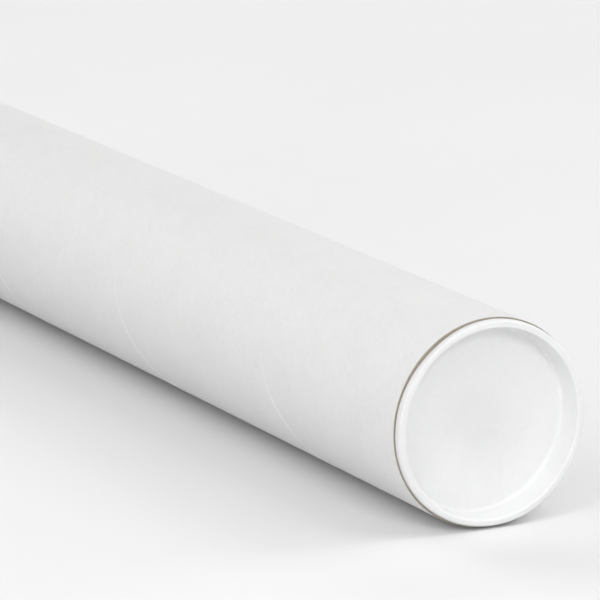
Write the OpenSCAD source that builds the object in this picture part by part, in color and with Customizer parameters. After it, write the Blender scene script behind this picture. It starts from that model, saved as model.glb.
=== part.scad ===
// Drawing tube: a spiral-wound paperboard tube lying on its side, closed by a
// white plastic plug cap at each end.
// +X runs along the tube towards the front cap, +Z is up, and the origin is
// the middle of the line that the tube lies on. Millimetres.

/* [Tube] */
// Length of the paperboard tube, without its caps
tube_length = 914.4; // [300:0.1:1500]
// Inside diameter of the tube
bore_d = 76.2; // [50:0.1:110]

/* [Plies] */
// Thickness of the inner kraft ply
inner_ply_t = 0.60; // [0.4:0.05:1.0]
// Thickness of the middle kraft ply
middle_ply_t = 0.60; // [0.4:0.05:1.0]
// Thickness of the outer kraft ply
outer_ply_t = 0.60; // [0.4:0.05:1.0]
// Thickness of the white covering ply
white_ply_t = 0.23; // [0.15:0.01:0.40]

/* [Cap lip] */
// How far the lip reaches out over the tube's end, from the bore
lip_reach = 1.4; // [1.0:0.05:1.5]
// Height of the lip above the tube's end
lip_h = 3.5; // [3.2:0.1:5.0]
// Width of the lip, across its top
lip_w = 3.0; // [2.6:0.1:3.2]
// Rounding of the lip's top, on its outer edge
lip_out_r = 1.1; // [0.8:0.1:1.4]
// Rounding of the lip's top, on its inner edge
lip_in_r = 0.7; // [0.4:0.1:1.0]
// Rounding under the lip's outer edge
lip_under_r = 0.8; // [0.4:0.1:0.9]

/* [Cap plug] */
// Depth of the plug skirt inside the tube
skirt_depth = 20; // [17:0.5:30]
// Wall thickness of the skirt and the floor
wall_t = 1.5; // [1.2:0.1:2.0]
// Gap between the skirt's root and the bore
skirt_gap = 0.3; // [0.3:0.05:0.5]
// Taper of the skirt, root to tip, on the radius
skirt_taper = 0.6; // [0.3:0.1:0.8]
// Depth of the recessed floor below the tube's end
floor_depth = 8; // [5:0.5:10]
// Rounding where the recess's wall meets its floor
floor_r = 1.8; // [1.0:0.1:2.5]

/* [Grip ribs] */
// Number of grip ribs round the skirt
rib_count = 24; // [12:2:36]
// Width of a grip rib
rib_w = 1.2; // [0.8:0.1:2.0]
// Radial clearance of the ribs in the bore
rib_fit = 0.05; // [0.02:0.01:0.10]

/* [Hidden] */
$fn = 120;

bore_r = bore_d / 2;
r_inner = bore_r + inner_ply_t;
r_middle = r_inner + middle_ply_t;
r_outer = r_middle + outer_ply_t;
tube_r = r_outer + white_ply_t;

lip_r = bore_r + lip_reach;          // the lip's outer radius
lip_in = lip_r - lip_w;              // the lip's inner radius
lip_side = lip_h - lip_out_r;        // where its outer side starts to round

skirt_r = bore_r - skirt_gap;        // skirt outside, at its root
skirt_tip_r = skirt_r - skirt_taper; // skirt outside, at its tip
tip_round = wall_t / 2;
tip_u = -skirt_depth + tip_round;
wall_top = lip_in;                   // recess wall at the lip
wall_bottom = lip_in - 0.4;          // recess wall at the floor, drafted
under_floor = -floor_depth - wall_t;

white = [0.93, 0.93, 0.93];
kraft = [0.55, 0.42, 0.29];
plastic = [0.96, 0.96, 0.97];

// One wound ply, as a sleeve along X
module ply(r_in, r_out) {
    translate([-tube_length / 2, 0, tube_r]) rotate([0, 90, 0])
        difference() {
            cylinder(r = r_out, h = tube_length);
            translate([0, 0, -1]) cylinder(r = r_in, h = tube_length + 2);
        }
}

// Section of a cap: radius across, height above the tube's end upwards
module cap_section() {
    // lip: flat seat, rounded under edge, straight side and a flat top with
    // both its edges rounded
    translate([lip_in, 0]) square([lip_w - lip_under_r, lip_h - lip_in_r]);
    translate([lip_in, lip_under_r]) square([lip_w, lip_side - lip_under_r]);
    translate([lip_in + lip_in_r, lip_under_r])
        square([lip_w - lip_in_r - lip_out_r, lip_h - lip_under_r]);
    translate([lip_r - lip_under_r, lip_under_r]) circle(r = lip_under_r);
    translate([lip_r - lip_out_r, lip_side]) circle(r = lip_out_r);
    translate([lip_in + lip_in_r, lip_h - lip_in_r]) circle(r = lip_in_r);
    // drafted recess wall and tapered skirt
    polygon([[wall_top, lip_side],
             [wall_bottom, -floor_depth],
             [skirt_tip_r - wall_t + 0.3, under_floor],
             [skirt_tip_r - wall_t, tip_u],
             [skirt_tip_r, tip_u],
             [skirt_r, 0],
             [skirt_r, lip_side]]);
    translate([skirt_tip_r - tip_round, tip_u]) circle(r = tip_round);
    // recessed floor
    translate([0, under_floor]) square([wall_bottom + 0.2, wall_t]);
    // rounding between the floor and the recess's wall
    difference() {
        translate([wall_bottom + 0.05 - floor_r, -floor_depth - 0.1])
            square([floor_r + 0.1, floor_r + 0.1]);
        translate([wall_bottom + 0.05 - floor_r, -floor_depth + floor_r])
            circle(r = floor_r);
    }
}

// A ring that the grip ribs are cut from, with a lead-in at the tip
module rib_ring() {
    rotate_extrude()
        polygon([[skirt_tip_r - 0.4, -1],
                 [bore_r - rib_fit, -1],
                 [bore_r - rib_fit, -skirt_depth * 0.65],
                 [skirt_tip_r + 0.1, -skirt_depth * 0.9],
                 [skirt_tip_r - 0.4, -skirt_depth * 0.9]]);
}

// One cap about Z, its seat at Z = 0 and its lip upwards
module cap() {
    rotate_extrude() cap_section();
    intersection() {
        rib_ring();
        union() for (i = [0 : rib_count / 2 - 1])
            rotate([0, 0, i * 360 / rib_count])
                translate([-bore_r, -rib_w / 2, -skirt_depth])
                    cube([2 * bore_r, rib_w, skirt_depth]);
    }
}

module cover_ply() { color(white) ply(r_outer, tube_r); }
module outer_kraft_ply() { color(kraft) ply(r_middle, r_outer); }
module middle_kraft_ply() { color(kraft) ply(r_inner, r_middle); }
module inner_kraft_ply() { color(kraft) ply(bore_r, r_inner); }

module front_cap() {
    color(plastic) translate([tube_length / 2, 0, tube_r])
        rotate([0, 90, 0]) cap();
}

module back_cap() {
    color(plastic) translate([-tube_length / 2, 0, tube_r])
        rotate([0, -90, 0]) cap();
}

cover_ply();
outer_kraft_ply();
middle_kraft_ply();
inner_kraft_ply();
front_cap();
back_cap();
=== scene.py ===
import math

import bmesh
import bpy
import numpy as np
from mathutils import Matrix, Vector


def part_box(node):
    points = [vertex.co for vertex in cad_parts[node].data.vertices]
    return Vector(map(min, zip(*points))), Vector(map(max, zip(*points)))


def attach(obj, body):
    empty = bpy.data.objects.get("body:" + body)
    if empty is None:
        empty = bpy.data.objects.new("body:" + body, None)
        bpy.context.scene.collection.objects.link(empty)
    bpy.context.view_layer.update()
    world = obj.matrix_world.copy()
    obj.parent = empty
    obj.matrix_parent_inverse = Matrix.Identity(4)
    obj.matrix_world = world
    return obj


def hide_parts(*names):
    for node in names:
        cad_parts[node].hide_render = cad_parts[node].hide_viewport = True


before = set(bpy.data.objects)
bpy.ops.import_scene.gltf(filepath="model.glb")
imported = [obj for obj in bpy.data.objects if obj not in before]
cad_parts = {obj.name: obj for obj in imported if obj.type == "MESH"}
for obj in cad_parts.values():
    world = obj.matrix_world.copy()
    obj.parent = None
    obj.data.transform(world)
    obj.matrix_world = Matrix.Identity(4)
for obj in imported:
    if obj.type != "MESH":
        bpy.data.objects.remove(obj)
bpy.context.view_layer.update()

# ---------------------------------------------------------------- sizes, from the frame
lo_cover, hi_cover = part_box("cover_ply")
lo_mid, hi_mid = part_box("middle_kraft_ply")
lo_out, hi_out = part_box("outer_kraft_ply")
lo_in, hi_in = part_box("inner_kraft_ply")
lo_cap, hi_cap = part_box("front_cap")

MM = 0.001
HALF = 0.4572                    # half the tube's length
AXIS_Z = 0.04013                 # the tube's axis above the floor
R_COVER = 0.04013                # outside of the white ply
R_OUTER = 0.03990                # outside of the outer kraft ply
R_MIDDLE = 0.03930
R_INNER = 0.03870
R_BORE = 0.03810
LEAD = 0.1312                    # one turn of every ply's helix
SEAM_X, SEAM_T = 0.3689, math.radians(225.0)   # a point on the covering ply's seam

for got, want in ((hi_cover.x, HALF), (hi_cap.x, HALF + 0.0035)):
    if abs(got - want) > 2e-4:
        raise RuntimeError("the frame's sizes are not the ones that this script was written for")


def smooth(e0, e1, x):
    t = np.clip((np.asarray(x, float) - e0) / (e1 - e0), 0.0, 1.0)
    return t * t * (3 - 2 * t)


def link(name, mesh):
    ob = bpy.data.objects.new(name, mesh)
    bpy.context.scene.collection.objects.link(ob)
    return ob


def finish_mesh(mesh, sharp_deg):
    for p in mesh.polygons:
        p.use_smooth = True
    mesh.set_sharp_from_angle(angle=math.radians(sharp_deg))
    mesh.validate()
    mesh.update()


# ---------------------------------------------------------------- wound plies
def wound_ply(name, r_in, r_out, v_cols, n_turn, seam_shift, outer_r, inner_r, end_round, end_jag, seed, mark=None):
    """A ply as a closed sleeve whose mesh follows its own helix.

    v_cols are positions across the strip, from its seam, as shares of the lead or in metres.
    outer_r(v, x, t) and inner_r(v, x, t) give the radii. Its UVs run along and across the strip.
    """
    v = np.array(v_cols, float)
    K = len(v)
    step = 2 * math.pi / n_turn
    t_lo = SEAM_T + (-HALF - 0.002 - LEAD - (SEAM_X + seam_shift)) / LEAD * 2 * math.pi
    t_hi = SEAM_T + (HALF + 0.002 - (SEAM_X + seam_shift)) / LEAD * 2 * math.pi
    n = int(math.ceil((t_hi - t_lo) / step)) + 1
    t = t_lo + step * np.arange(n)

    bm = bmesh.new()
    uv = bm.loops.layers.uv.new("strip")

    def xs(ti):
        return SEAM_X + seam_shift + LEAD * (ti - SEAM_T) / (2 * math.pi)

    def sheet(r, flip):
        grid = []
        for i in range(n):
            row = []
            x0 = xs(t[i])
            c, s = math.cos(t[i]), math.sin(t[i])
            for k in range(K):
                row.append(bm.verts.new((x0 + v[k], r * c, AXIS_Z + r * s)))
            grid.append(row)
        for i in range(n - 1):
            for k in range(K):
                if k < K - 1:
                    q = (grid[i][k], grid[i][k + 1], grid[i + 1][k + 1], grid[i + 1][k])
                else:
                    j = i + n_turn
                    if j + 1 >= n:
                        continue
                    q = (grid[i][k], grid[j][0], grid[j + 1][0], grid[i + 1][k])
                va = v[k]
                vb = v[k + 1] if k < K - 1 else LEAD
                f = bm.faces.new(q if not flip else q[::-1])
                f.smooth = True
                ua, ub = t[i] * r_out, t[i + 1] * r_out
                co = [(ua, va), (ua, vb), (ub, vb), (ub, va)]
                if flip:
                    co = co[::-1]
                for loop, (a, b) in zip(f.loops, co):
                    loop[uv].uv = (a, b)

    sheet(r_out, False)
    sheet(r_in, True)

    def cut(x, clear_out, clear_in):
        geom = bm.verts[:] + bm.edges[:] + bm.faces[:]
        bmesh.ops.bisect_plane(bm, geom=geom, dist=1e-7, plane_co=(x, 0, 0), plane_no=(1, 0, 0),
                               clear_outer=clear_out, clear_inner=clear_in)

    cut(HALF, True, False)
    cut(-HALF, False, True)
    for off in end_round:
        cut(HALF - off, False, False)
        cut(-HALF + off, False, False)
    loose = [w for w in bm.verts if not w.link_faces]
    bmesh.ops.delete(bm, geom=loose, context="VERTS")

    # close the two cut ends
    for side in (HALF, -HALF):
        rim = [e for e in bm.edges if e.is_boundary and all(abs(w.co.x - side) < 1e-6 for w in e.verts)]
        bmesh.ops.bridge_loops(bm, edges=rim)
    bm.verts.ensure_lookup_table()

    # put every vertex on its real surface
    mid = 0.5 * (r_in + r_out)
    rng = np.random.default_rng(seed)
    wob = rng.uniform(0, 2 * math.pi, 6)
    co = np.array([w.co for w in bm.verts])
    tt = np.arctan2(co[:, 2] - AXIS_Z, co[:, 1])
    rr = np.hypot(co[:, 1], co[:, 2] - AXIS_Z)
    x = co[:, 0]
    vv = np.mod(x - (SEAM_X + seam_shift) - LEAD * (tt - SEAM_T) / (2 * math.pi) + 1e-7, LEAD)
    outer = rr > mid
    ro = outer_r(vv, x, tt, wob)
    ri = inner_r(vv, x, tt, wob)
    dist = HALF - np.abs(x)
    new = np.where(outer, ro, ri)
    if end_jag > 0:
        # the knife leaves each ply a hair long or short, and rounds its edge
        edge = dist < 2e-6
        jag = 0.5 + 0.25 * np.sin(3 * tt + wob[0]) + 0.25 * np.sin(11 * tt + wob[1])
        x = np.where(edge, np.sign(x) * (HALF - end_jag * jag), x)
        soft = np.clip(1 - dist / max(end_round), 0, 1) ** 2
        bite = 0.22 * (r_out - r_in)
        new = np.where(outer, new - bite * soft, new + bite * soft)
    for w, xn, rn, tn in zip(bm.verts, x, new, tt):
        w.co = (xn, rn * math.cos(tn), AXIS_Z + rn * math.sin(tn))
    bmesh.ops.recalc_face_normals(bm, faces=bm.faces[:])
    mesh = bpy.data.meshes.new(name)
    bm.to_mesh(mesh)
    bm.free()
    return mesh


def flat(r):
    return lambda v, x, t, w: np.full(np.shape(v), r)


# the covering ply: its edge lies over the turn before it, facing the front cap
STEP = 0.00006
R_LOW = R_COVER - STEP


def cover_outer(v, x, t, w):
    r = np.full(np.shape(v), R_LOW)
    r = r + STEP * smooth(LEAD - 0.0065, LEAD - 0.0040, v)          # rides up on the overlap
    r = r + STEP * (1 - smooth(0.0, 0.00022, v)) * (v < 0.00023)    # the cut edge
    r = r + 0.00003 * np.exp(-((v - 0.0176) / 0.0007) ** 2)         # the kraft seam beneath shows through
    r = r - 0.00002 * np.exp(-((v - 0.0190) / 0.0009) ** 2)
    r = r - 0.00003 * (0.5 + 0.5 * np.sin(2 * math.pi * x / 0.083 + 2 * t + w[0]) * np.sin(3 * t + w[1]))
    return np.minimum(r, R_COVER)


cols = [0.0, 0.00006, 0.00012, 0.00018, 0.00024, 0.0009, 0.0020, 0.0050, 0.0100, 0.0150, 0.0165, 0.0171, 0.0176, 0.0181, 0.0190,
        0.0200, 0.0260, 0.0400, 0.0550, 0.0700, 0.0850, 0.1000, 0.1150, LEAD - 0.0090, LEAD - 0.0065, LEAD - 0.0055,
        LEAD - 0.0048, LEAD - 0.0040, LEAD - 0.0015]
cover_mesh = wound_ply("covering_ply", R_OUTER, R_COVER, cols, 144, 0.0, cover_outer, flat(R_OUTER),
                       (0.00035, 0.00012), 0.00003, 11)
cover = link("covering_ply", cover_mesh)
finish_mesh(cover_mesh, 30)


def groove(r, depth, width, out):
    """A butt seam: the strip's two edges meet in a fine groove."""
    sign = -1 if out else 1

    def f(v, x, t, w):
        d = np.minimum(v, LEAD - v)
        return r + sign * depth * (1 - smooth(width * 0.25, width, d))
    return f


kcols = [0.0, 0.0002, 0.0005, 0.0009, 0.004, 0.012, 0.025, 0.045, 0.065, 0.085, 0.105, 0.120, LEAD - 0.004,
         LEAD - 0.0009, LEAD - 0.0005, LEAD - 0.0002]
outer_mesh = wound_ply("kraft_ply_outer", R_MIDDLE, R_OUTER, kcols, 120, 0.0176, groove(R_OUTER, 0.00010, 0.0006, True),
                       flat(R_MIDDLE), (0.00040, 0.00015), 0.00010, 12)
outer = link("kraft_ply_outer", outer_mesh)
finish_mesh(outer_mesh, 30)
middle_mesh = wound_ply("kraft_ply_middle", R_INNER, R_MIDDLE, kcols, 120, 0.0610, flat(R_MIDDLE),
                        flat(R_INNER), (0.00040, 0.00015), 0.00016, 13)
middle = link("kraft_ply_middle", middle_mesh)
finish_mesh(middle_mesh, 30)
inner_mesh = wound_ply("kraft_ply_inner", R_BORE, R_INNER, kcols, 120, 0.1010, flat(R_INNER),
                       groove(R_BORE, 0.00016, 0.0007, False), (0.00040, 0.00015), 0.00008, 14)
inner = link("kraft_ply_inner", inner_mesh)
finish_mesh(inner_mesh, 30)


# ---------------------------------------------------------------- caps
def arc(cx, cy, r, a0, a1, n):
    return [(cx + r * math.cos(math.radians(a0 + (a1 - a0) * i / n)),
             cy + r * math.sin(math.radians(a0 + (a1 - a0) * i / n))) for i in range(n + 1)]


def cap_outline():
    """The cap's section in millimetres, radius and height above its seat: from the recess's middle out over the lip,
    down the skirt and back under the floor. Each point is (r, u, zone)."""
    lip_r, lip_in, lip_h = 39.5, 36.5, 3.5
    ro, ri = 1.1, 0.7                       # roundings of the lip's flat top, outside and inside
    wb, fd, fr = 36.1, 8.0, 1.5
    skirt, tip, wall = 37.8, 37.2, 1.5
    pts = []
    for r in (0.0, 1.0, 2.5, 5, 8, 11, 14, 17, 20, 23, 26, 28.5, 30.5, 32.0, 33.2, 34.0):
        pts.append((r, -fd, "floor"))
    pts += [(r, u, "floor") for r, u in arc(wb + 0.05 - fr, -fd + fr, fr, -90, -2, 12)]
    low, high = -fd + fr, lip_h - ro
    for k in range(1, 7):
        s = k / 7
        pts.append((wb + 0.05 + (lip_in - wb - 0.05) * s, low + (high - low) * s, "wall"))
    pts += [(r, u, "lip") for r, u in arc(lip_in + ri, lip_h - ri, ri, 180, 90, 10)]
    pts += [(r, lip_h, "lip") for r in (37.35, 37.6, 37.8, 38.0, 38.25)]
    pts += [(r, u, "lip") for r, u in arc(lip_r - ro, lip_h - ro, ro, 90, 0, 14)]
    pts.append((lip_r, lip_h - ro - 0.4, "lip"))
    pts.append((lip_r, 1.4, "lip"))
    pts += [(r, u, "lip") for r, u in arc(lip_r - 0.8, 0.8, 0.8, 0, -90, 10)]
    pts.append((38.3, 0.0, "seat"))
    pts += [(r, u, "seat") for r, u in arc(skirt + 0.25, -0.25, 0.25, 90, 180, 3)]
    for u in (-0.7, -1.0, -1.35, -1.9, -3, -5, -7, -9, -11, -12.6, -13.0, -13.6, -14.6, -15.8, -17.0, -17.7, -18.1, -18.7):
        pts.append((skirt - (skirt - tip) * (-u / 19.25), u, "skirt"))
    pts += [(r, u, "tip") for r, u in arc(tip - 0.75, -19.25, 0.75, 0, -180, 10)]
    under = -fd - wall
    for u in (-18.0, -16.0, -14.0, -12.2):
        s = (u + 19.25) / (under + 19.25)
        pts.append((tip - wall + 0.3 * s, u, "inside"))
    rr = 1.0
    top = tip - wall + 0.3
    pts += [(r, u, "inside") for r, u in arc(top - rr, under - rr, rr, 0, 90, 6)]
    for r in (32.5, 30, 27, 24, 21, 18, 15, 12, 9, 6.5, 5.0, 3.4, 1.6, 0.0):
        pts.append((r, under, "under"))
    return pts


def lip_drift(a, sign):
    """How far the moulded lip wanders from round, in millimetres, at the angle a round the cap."""
    d = (a - (0.0 if sign > 0 else 2.1))

    def g(at, wide):
        x = (np.degrees(d) - at + 180.0) % 360.0 - 180.0
        return math.exp(-(x / wide) ** 2)
    return -0.50 * g(131, 22) + 0.17 * g(190, 24) - 0.36 * g(256, 34) + 0.05 * math.sin(5 * d + 0.7)


def cap_mesh(name, sign):
    """A cap as one closed, turned mesh with its grip ribs. sign is +1 for the front end and -1 for the back."""
    pts = cap_outline()
    ribs = 24
    period = 2 * math.pi / ribs
    half = math.degrees(0.6 / 37.8)
    near = [-half - 0.16, -half, -half * 0.82, -half * 0.3, half * 0.3, half * 0.82, half, half + 0.16]
    rest = list(np.linspace(half + 0.16, 15 - half - 0.16, 9)[1:-1])
    offs = [math.radians(a) for a in near + rest]
    ang = [k * period + o for k in range(ribs) for o in offs]
    crown = [1 if abs(math.degrees(o)) <= half * 0.83 else (0.55 if abs(math.degrees(o)) <= half + 1e-6 else 0) for o in offs]
    rise = [crown[i % len(offs)] for i in range(len(ang))]
    bm = bmesh.new()
    rings = []
    for r, u, zone in pts:
        if r < 1e-9:
            rings.append(bm.verts.new((sign * (HALF + u * MM), 0, AXIS_Z)))
            continue
        ring = []
        for a, h in zip(ang, rise):
            rad = r
            if zone in ("lip", "seat") and r > 38.0 and u >= 0:
                rad = r + lip_drift(a, sign) * float(smooth(38.0, 39.0, r))
            if zone == "skirt" and h:
                tip_r = 38.05
                if u > -1.35:
                    tip_r = 38.05 - (38.05 - r) * (1 - smooth(0.7, 1.3, -u))
                elif u < -13.0:
                    tip_r = 38.05 + (37.3 - 38.05) * smooth(13.0, 18.1, -u)
                rad = max(r, r + (tip_r - r) * h)
            ring.append(bm.verts.new((sign * (HALF + u * MM), rad * MM * math.cos(a) * sign, AXIS_Z + rad * MM * math.sin(a))))
        rings.append(ring)
    n = len(ang)
    for a, b in zip(rings[:-1], rings[1:]):
        for i in range(n):
            j = (i + 1) % n
            if not isinstance(a, list):
                bm.faces.new((a, b[i], b[j]))
            elif not isinstance(b, list):
                bm.faces.new((a[i], b, a[j]))
            else:
                bm.faces.new((a[i], b[i], b[j], a[j]))
    bmesh.ops.recalc_face_normals(bm, faces=bm.faces[:])
    mesh = bpy.data.meshes.new(name)
    bm.to_mesh(mesh)
    bm.free()
    finish_mesh(mesh, 40)
    return mesh


front = link("plug_cap_front", cap_mesh("plug_cap_front", 1))
back = link("plug_cap_back", cap_mesh("plug_cap_back", -1))

for ob, body, node, slot in ((cover, "tube", "cover_ply", "white_paper"), (outer, "tube", "outer_kraft_ply", "kraft_paper"),
                             (middle, "tube", "middle_kraft_ply", "kraft_paper"), (inner, "tube", "inner_kraft_ply", "kraft_paper"),
                             (front, "front_cap", "front_cap", "cap_plastic"), (back, "back_cap", "back_cap", "cap_plastic")):
    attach(ob, body)
    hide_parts(node)


# ---------------------------------------------------------------- materials
class Nodes:
    def __init__(self, name):
        self.m = bpy.data.materials.new(name)
        self.m.use_nodes = True
        self.t = self.m.node_tree
        self.bsdf = self.t.nodes["Principled BSDF"]

    def new(self, kind, **sockets):
        nd = self.t.nodes.new(kind)
        for k, val in sockets.items():
            if hasattr(nd, k) and not k[0].isupper():
                setattr(nd, k, val)
        return nd

    def link(self, a, b):
        self.t.links.new(a, b)

    def math(self, op, a, b=None, clamp=False):
        nd = self.t.nodes.new("ShaderNodeMath")
        nd.operation = op
        nd.use_clamp = clamp
        for i, val in enumerate((a, b)):
            if val is None:
                continue
            if isinstance(val, (int, float)):
                nd.inputs[i].default_value = val
            else:
                self.link(val, nd.inputs[i])
        return nd.outputs[0]

    def scaled(self, vec, s):
        nd = self.t.nodes.new("ShaderNodeMapping")
        nd.vector_type = "POINT"
        nd.inputs["Scale"].default_value = s
        self.link(vec, nd.inputs["Vector"])
        return nd.outputs[0]

    def noise(self, vec, scale, detail=3.0, rough=0.55, distort=0.0):
        nd = self.t.nodes.new("ShaderNodeTexNoise")
        nd.inputs["Scale"].default_value = scale
        nd.inputs["Detail"].default_value = detail
        nd.inputs["Roughness"].default_value = rough
        nd.inputs["Distortion"].default_value = distort
        self.link(vec, nd.inputs["Vector"])
        return nd.outputs["Fac"]

    def ramp(self, fac, stops):
        nd = self.t.nodes.new("ShaderNodeValToRGB")
        r = nd.color_ramp
        while len(r.elements) < len(stops):
            r.elements.new(0.5)
        for el, (p, col) in zip(r.elements, stops):
            el.position = p
            el.color = (*col, 1) if len(col) == 3 else col
        self.link(fac, nd.inputs["Fac"])
        return nd.outputs["Color"]

    def maprange(self, val, a, b, c, d_):
        nd = self.t.nodes.new("ShaderNodeMapRange")
        nd.inputs["From Min"].default_value = a
        nd.inputs["From Max"].default_value = b
        nd.inputs["To Min"].default_value = c
        nd.inputs["To Max"].default_value = d_
        self.link(val, nd.inputs["Value"])
        return nd.outputs["Result"]

    def mix(self, fac, a, b, blend="MIX"):
        nd = self.t.nodes.new("ShaderNodeMix")
        nd.data_type = "RGBA"
        nd.blend_type = blend
        if isinstance(fac, (int, float)):
            nd.inputs[0].default_value = fac
        else:
            self.link(fac, nd.inputs[0])
        for sock, val in ((nd.inputs[6], a), (nd.inputs[7], b)):
            if isinstance(val, tuple):
                sock.default_value = (*val, 1)
            else:
                self.link(val, sock)
        return nd.outputs[2]

    def bump(self, height, strength, distance, normal=None):
        nd = self.t.nodes.new("ShaderNodeBump")
        nd.inputs["Strength"].default_value = strength
        nd.inputs["Distance"].default_value = distance
        self.link(height, nd.inputs["Height"])
        if normal is not None:
            self.link(normal, nd.inputs["Normal"])
        return nd.outputs["Normal"]


def paper_white():
    g = Nodes("white_covering_paper")
    uv = g.t.nodes.new("ShaderNodeUVMap")
    uv.uv_map = "strip"
    vec = uv.outputs["UV"]
    tc = g.t.nodes.new("ShaderNodeTexCoord")
    ob = tc.outputs["Object"]
    sep = g.t.nodes.new("ShaderNodeSeparateXYZ")
    g.link(vec, sep.inputs[0])
    # fibres lie along the strip, over a faint cloudiness of the sheet and the print of the wet winding
    fibre = g.noise(g.scaled(vec, (260, 1150, 1)), 1.0, 4, 0.62, 0.5)
    fine = g.noise(g.scaled(vec, (900, 3600, 1)), 1.0, 2, 0.5)
    felt = g.noise(ob, 350, 4, 0.62)
    cloud = g.noise(ob, 55, 3, 0.5)
    streak = g.noise(g.scaled(vec, (24, 700, 1)), 1.0, 3, 0.55, 0.8)
    tone = g.math("ADD", g.math("ADD", g.math("MULTIPLY", fibre, 0.30), g.math("MULTIPLY", fine, 0.12)),
                  g.math("ADD", g.math("MULTIPLY", cloud, 0.22), g.math("ADD", g.math("MULTIPLY", felt, 0.26), g.math("MULTIPLY", streak, 0.10))))
    col = g.ramp(tone, [(0.34, (0.645, 0.644, 0.641)), (0.50, (0.688, 0.687, 0.686)), (0.66, (0.722, 0.721, 0.721))])
    # painted highlight: the glued edge is painted lighter, most on the tube's lower side, where the seam's step catches
    # the light; the edge is also a little smoother than the sheet
    v = sep.outputs["Y"]
    near = g.math("SUBTRACT", 1.0, g.maprange(g.math("MINIMUM", v, g.math("SUBTRACT", LEAD, v)), 0.0002, 0.0012, 0, 1), True)
    pos = g.t.nodes.new("ShaderNodeSeparateXYZ")
    g.link(ob, pos.inputs[0])
    # painted highlight mask: full on the tube's lower side, fading out towards its top
    low = g.maprange(g.math("SUBTRACT", pos.outputs["Z"], AXIS_Z), 0.010, -0.014, 0.03, 1.0)
    col_with_seam_highlight = g.mix(g.math("MULTIPLY", g.math("MULTIPLY", near, low), 0.78), col, (0.80, 0.80, 0.80))
    # the paper's cut end is coloured grey-brown over its last fraction of a millimetre
    cut = g.maprange(g.math("ABSOLUTE", pos.outputs["X"]), HALF - 0.00022, HALF - 0.00006, 0.0, 0.72)
    g.link(g.mix(cut, col_with_seam_highlight, (0.43, 0.40, 0.345)), g.bsdf.inputs["Base Color"])
    rough = g.math("SUBTRACT", g.maprange(tone, 0.34, 0.66, 0.50, 0.64), g.math("MULTIPLY", near, 0.08))
    g.link(rough, g.bsdf.inputs["Roughness"])
    h = g.math("ADD", g.math("ADD", g.math("MULTIPLY", fibre, 0.30), g.math("MULTIPLY", fine, 0.08)),
               g.math("ADD", g.math("MULTIPLY", felt, 0.52), g.math("MULTIPLY", streak, 0.10)))
    g.link(g.bump(h, 0.90, 0.00052), g.bsdf.inputs["Normal"])
    g.bsdf.inputs["Specular IOR Level"].default_value = 0.45
    return g.m


def kraft(name, dark, mid, light, shift):
    g = Nodes(name)
    uv = g.t.nodes.new("ShaderNodeUVMap")
    uv.uv_map = "strip"
    tc = g.t.nodes.new("ShaderNodeTexCoord")
    ob = tc.outputs["Object"]
    mp = g.t.nodes.new("ShaderNodeMapping")
    mp.inputs["Location"].default_value = (shift, 2 * shift, -shift)
    g.link(ob, mp.inputs["Vector"])
    base = mp.outputs[0]
    fibre = g.noise(g.scaled(uv.outputs["UV"], (220, 1300, 1)), 1.0, 5, 0.65, 0.6)
    speck = g.noise(base, 1500, 3, 0.6)
    cloud = g.noise(base, 90, 4, 0.6)
    tone = g.math("ADD", g.math("MULTIPLY", fibre, 0.45), g.math("ADD", g.math("MULTIPLY", speck, 0.3), g.math("MULTIPLY", cloud, 0.25)))
    col = g.ramp(tone, [(0.30, dark), (0.5, mid), (0.70, light)])
    hair = g.ramp(g.noise(g.scaled(uv.outputs["UV"], (120, 2600, 1)), 1.0, 2, 0.5, 1.5), [(0.66, (0, 0, 0)), (0.72, (1, 1, 1))])
    g.link(g.mix(g.math("MULTIPLY", hair, 0.35), col, dark), g.bsdf.inputs["Base Color"])
    g.link(g.maprange(fibre, 0.3, 0.7, 0.78, 0.93), g.bsdf.inputs["Roughness"])
    h = g.math("ADD", g.math("MULTIPLY", fibre, 0.6), g.math("MULTIPLY", speck, 0.4))
    g.link(g.bump(h, 0.5, 0.0001), g.bsdf.inputs["Normal"])
    g.bsdf.inputs["Specular IOR Level"].default_value = 0.3
    return g.m


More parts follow.
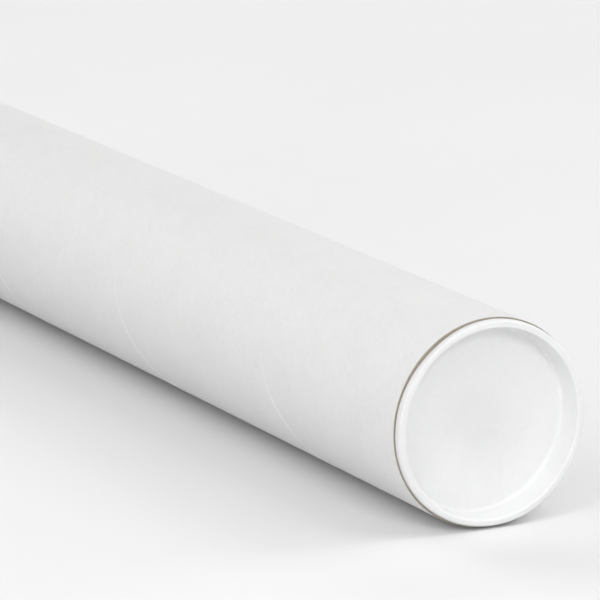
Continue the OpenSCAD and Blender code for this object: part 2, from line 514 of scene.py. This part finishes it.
def plastic(name, shift):
    g = Nodes(name)
    tc = g.t.nodes.new("ShaderNodeTexCoord")
    mp = g.t.nodes.new("ShaderNodeMapping")
    mp.inputs["Location"].default_value = (shift, shift, shift)
    g.link(tc.outputs["Object"], mp.inputs["Vector"])
    vec = mp.outputs[0]
    flow = g.noise(g.scaled(vec, (40, 40, 40)), 1.0, 3, 0.5, 0.8)
    mott = g.noise(vec, 420, 3, 0.55)
    grain = g.noise(vec, 3800, 2, 0.5)
    tone = g.math("ADD", g.math("MULTIPLY", flow, 0.6), g.math("MULTIPLY", mott, 0.4))
    col = g.ramp(tone, [(0.3, (0.735, 0.737, 0.742)), (0.5, (0.762, 0.763, 0.767)), (0.7, (0.780, 0.781, 0.784))])
    # painted shade: the floor's middle is painted a little greyer than its edge, standing in for the light that the
    # recess walls bounce onto the floor near its edge
    sep = g.t.nodes.new("ShaderNodeSeparateXYZ")
    g.link(tc.outputs["Object"], sep.inputs[0])
    dz = g.math("SUBTRACT", sep.outputs["Z"], AXIS_Z)
    rad = g.math("SQRT", g.math("ADD", g.math("MULTIPLY", sep.outputs["Y"], sep.outputs["Y"]), g.math("MULTIPLY", dz, dz)))
    centre_painted_shade = g.maprange(rad, 0.008, 0.033, 1.0, 0.0)
    centre_painted_shade = g.math("MULTIPLY", g.math("MULTIPLY", centre_painted_shade, centre_painted_shade), 0.09)
    # painted shade: the lip is painted darker, to take back the grazing light that it catches and the recess floor does
    # not
    lip_painted_shade = g.maprange(rad, 0.0362, 0.0372, 0.0, 0.075)
    g.link(g.mix(g.math("ADD", centre_painted_shade, lip_painted_shade), col, (0.0, 0.0, 0.0)), g.bsdf.inputs["Base Color"])
    g.link(g.maprange(tone, 0.3, 0.7, 0.46, 0.56), g.bsdf.inputs["Roughness"])
    h = g.math("ADD", g.math("MULTIPLY", mott, 0.6), g.math("MULTIPLY", grain, 0.4))
    g.link(g.bump(h, 0.12, 0.00005), g.bsdf.inputs["Normal"])
    g.bsdf.inputs["Subsurface Weight"].default_value = 0.06
    g.bsdf.inputs["Subsurface Radius"].default_value = (0.0015, 0.0015, 0.0015)
    g.bsdf.inputs["Subsurface Scale"].default_value = 1.0
    g.bsdf.inputs["Specular IOR Level"].default_value = 0.32
    return g.m


cover.data.materials.append(paper_white())
outer.data.materials.append(kraft("kraft_board_outer", (0.300, 0.262, 0.202), (0.410, 0.368, 0.298), (0.500, 0.458, 0.382), 0.31))
middle.data.materials.append(kraft("kraft_board_middle", (0.262, 0.226, 0.170), (0.365, 0.325, 0.260), (0.450, 0.408, 0.335), 0.77))
inner.data.materials.append(kraft("kraft_board_inner", (0.285, 0.246, 0.188), (0.392, 0.350, 0.282), (0.480, 0.436, 0.360), 0.13))
front.data.materials.append(plastic("cap_polyethylene_front", 0.21))
back.data.materials.append(plastic("cap_polyethylene_back", 0.67))

# ---------------------------------------------------------------- stage
sc = bpy.context.scene
sc.view_settings.view_transform = "Standard"
sc.view_settings.look = "None"

bm = bmesh.new()
bmesh.ops.create_grid(bm, x_segments=40, y_segments=40, size=10.0)
fm = bpy.data.meshes.new("studio_floor")
bm.to_mesh(fm)
bm.free()
floor = link("studio_floor", fm)
floor.location = (0, 0, -0.0002)
g = Nodes("pale_floor")
tc = g.t.nodes.new("ShaderNodeTexCoord")
n = g.noise(tc.outputs["Object"], 3.0, 3, 0.5)
g.link(g.ramp(n, [(0.3, (0.755, 0.755, 0.755)), (0.7, (0.775, 0.775, 0.775))]), g.bsdf.inputs["Base Color"])
sp = g.t.nodes.new("ShaderNodeSeparateXYZ")
g.link(tc.outputs["Object"], sp.inputs[0])
away = g.math("SQRT", g.math("ADD", g.math("MULTIPLY", sp.outputs["X"], sp.outputs["X"]), g.math("MULTIPLY", sp.outputs["Y"], sp.outputs["Y"])))
glow = g.ramp(g.math("MULTIPLY", away, 0.2), [(0.26, (0, 0, 0)), (0.45, (0.55, 0.55, 0.55)), (0.70, (0.95, 0.95, 0.95))])
g.link(glow, g.bsdf.inputs["Emission Color"])
g.bsdf.inputs["Emission Strength"].default_value = 1.0
g.bsdf.inputs["Roughness"].default_value = 0.9
g.bsdf.inputs["Specular IOR Level"].default_value = 0.1
floor.data.materials.append(g.m)

world = bpy.data.worlds.new("studio")
sc.world = world
world.use_nodes = True
bg = world.node_tree.nodes["Background"]
# a white sweep at the horizon, dark overhead
wt = world.node_tree
wc = wt.nodes.new("ShaderNodeTexCoord")
ws = wt.nodes.new("ShaderNodeSeparateXYZ")
wt.links.new(wc.outputs["Generated"], ws.inputs[0])
wr = wt.nodes.new("ShaderNodeValToRGB")
wr.color_ramp.elements[0].position, wr.color_ramp.elements[0].color = 0.12, (1, 1, 1, 1)
wr.color_ramp.elements[1].position, wr.color_ramp.elements[1].color = 0.34, (0, 0, 0, 1)
wt.links.new(ws.outputs["Z"], wr.inputs["Fac"])
wt.links.new(wr.outputs["Color"], bg.inputs["Color"])
bg.inputs["Strength"].default_value = 1.0

# soft boxes round the table: azimuth from +X, height angle, power, size. The small ones shade the cap's recess under its lip
AIM = Vector((0.30, 0.0, 0.04))
for az, el, power, size in ((80, 38, 23.08, 1.3), (-60, 38, 20.04, 1.3), (-160, 38, 18.13, 1.3), (35, 64, 16.86, 1.3), (-160, 12, 9.23, 1.3), (-14, 30, 7.63, 0.5), (35, 38, 7.53, 1.3), (-8, 26, 5.58, 0.5), (-30, 38, 4.85, 1.3), (0, 12, 3.64, 1.3), (180, 64, 2.46, 1.3), (-30, 12, 1.98, 1.3)):
    li = bpy.data.lights.new("softbox_%d_%d" % (az, el), "AREA")
    li.shape = "SQUARE"
    li.size = size
    li.energy = power
    lo = bpy.data.objects.new(li.name, li)
    sc.collection.objects.link(lo)
    a, e = math.radians(az), math.radians(el)
    lo.location = AIM + 2.6 * Vector((math.cos(a) * math.cos(e), math.sin(a) * math.cos(e), math.sin(e)))
    lo.rotation_euler = (AIM - lo.location).to_track_quat("-Z", "Y").to_euler()

# soft boxes that face the floor: place, aim point on the floor, size, power
for i, (place, aim, size, power) in enumerate((((-1.3, 1.2, 1.5), (-0.9, 0.9, 0.0), 1.2, 11.14), ((0.9, -1.6, 0.6), (0.2, -0.6, 0.0), 0.8, 3.54),)):
    li = bpy.data.lights.new("floor_softbox_%d" % i, "AREA")
    li.shape = "SQUARE"
    li.size = size
    li.energy = power
    lo = bpy.data.objects.new(li.name, li)
    sc.collection.objects.link(lo)
    lo.location = place
    lo.rotation_euler = (Vector(aim) - Vector(place)).to_track_quat("-Z", "Y").to_euler()

cam = bpy.data.cameras.new("camera")
cam.sensor_fit = "HORIZONTAL"
cam.sensor_width = 36.0
cam.lens = 4873.87 / 600 * 36.0
cam.clip_end = 50
cam_ob = bpy.data.objects.new("camera", cam)
sc.collection.objects.link(cam_ob)
right = Vector((0.46094484, 0.88742879, 0.0))
up = Vector((-0.20495313, 0.10645597, 0.97296523))
fwd = Vector((-0.86343735, 0.44848331, -0.23095164))
rot = Matrix((right, up, -fwd)).transposed().to_4x4()
R = 0.04013
cam_ob.matrix_world = Matrix.Translation(Vector((HALF + 37.81237701 * R, -21.59894174 * R, AXIS_Z + 11.48979944 * R))) @ rot
sc.camera = cam_ob
